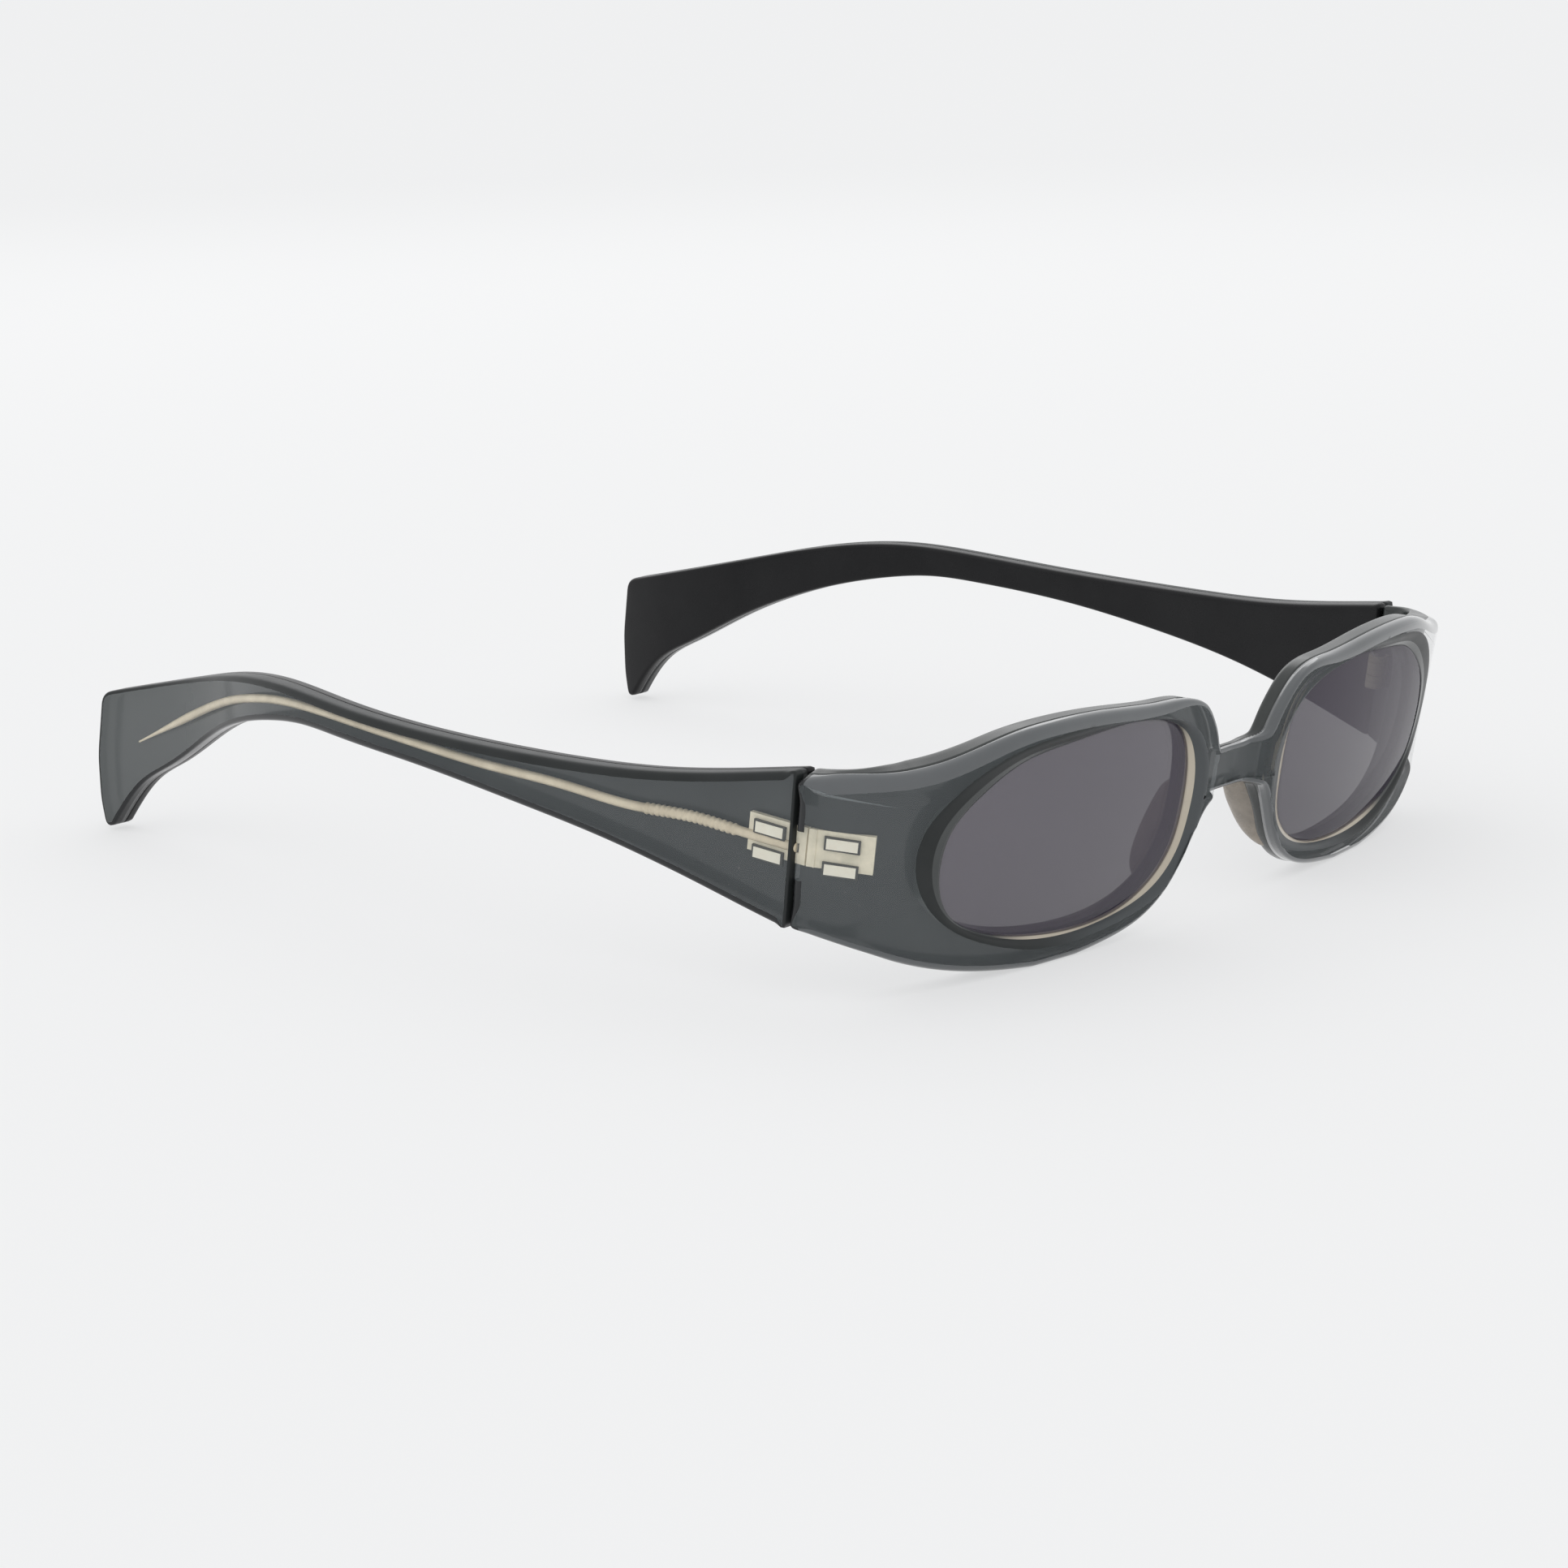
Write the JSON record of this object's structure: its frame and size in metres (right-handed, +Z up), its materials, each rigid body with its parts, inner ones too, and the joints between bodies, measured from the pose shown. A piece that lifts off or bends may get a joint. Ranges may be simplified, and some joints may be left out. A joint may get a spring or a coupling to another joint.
{
  "type": "sunglasses",
  "caption": "Narrow wraparound sunglasses with rounded lenses, translucent grey laminated front and broad folding temples on sunk hinges with core wires",
  "frame": {"origin": "middle of the bounding box at floor level, on the plane of symmetry", "axes": "+X to the wearer's left, +Y back along the temples, +Z up"},
  "size_m": [0.142, 0.1638, 0.032],
  "materials": {
    "grey_acetate": "polished translucent grey-green cellulose acetate",
    "clear_smoke_acetate": "polished clear smoke cellulose acetate",
    "black_acetate": "satin black cellulose acetate",
    "lens_tint": "polished grey-violet tinted lens",
    "hinge_metal": "nickel silver, dull where the plastic covers it",
    "screw_steel": "bright steel screw"
  },
  "bodies": {
    "front": {"front_face_layer": "grey_acetate", "front_back_layer": "clear_smoke_acetate", "lens_left": "lens_tint", "lens_right": "lens_tint", "nose_pad_left": "clear_smoke_acetate", "nose_pad_right": "clear_smoke_acetate", "front_hinge_leaf_left": "hinge_metal", "front_hinge_leaf_right": "hinge_metal", "front_anchor_lugs_left": "hinge_metal", "front_anchor_lugs_right": "hinge_metal", "hinge_screw_left": "screw_steel", "hinge_screw_right": "screw_steel"},
    "temple_right": {"temple_outer_layer_right": "grey_acetate", "temple_inner_layer_right": "black_acetate", "core_wire_right": "hinge_metal", "temple_hinge_leaf_right": "hinge_metal", "temple_anchor_lugs_right": "hinge_metal"},
    "temple_left": {"temple_outer_layer_left": "grey_acetate", "temple_inner_layer_left": "black_acetate", "core_wire_left": "hinge_metal", "temple_hinge_leaf_left": "hinge_metal", "temple_anchor_lugs_left": "hinge_metal"}
  },
  "joints": [
    {"name": "temple_right_fold", "type": "hinge", "parent": "front", "child": "temple_right", "pos_m": [-0.06085, -0.05838, 0.01922], "axis": [0, 0.1483, -0.9889], "range_deg": [0, 85]},
    {"name": "temple_left_fold", "type": "hinge", "parent": "front", "child": "temple_left", "pos_m": [0.06085, -0.05838, 0.01922], "axis": [0, -0.1483, 0.9889], "range_deg": [0, 66]}
  ]
}
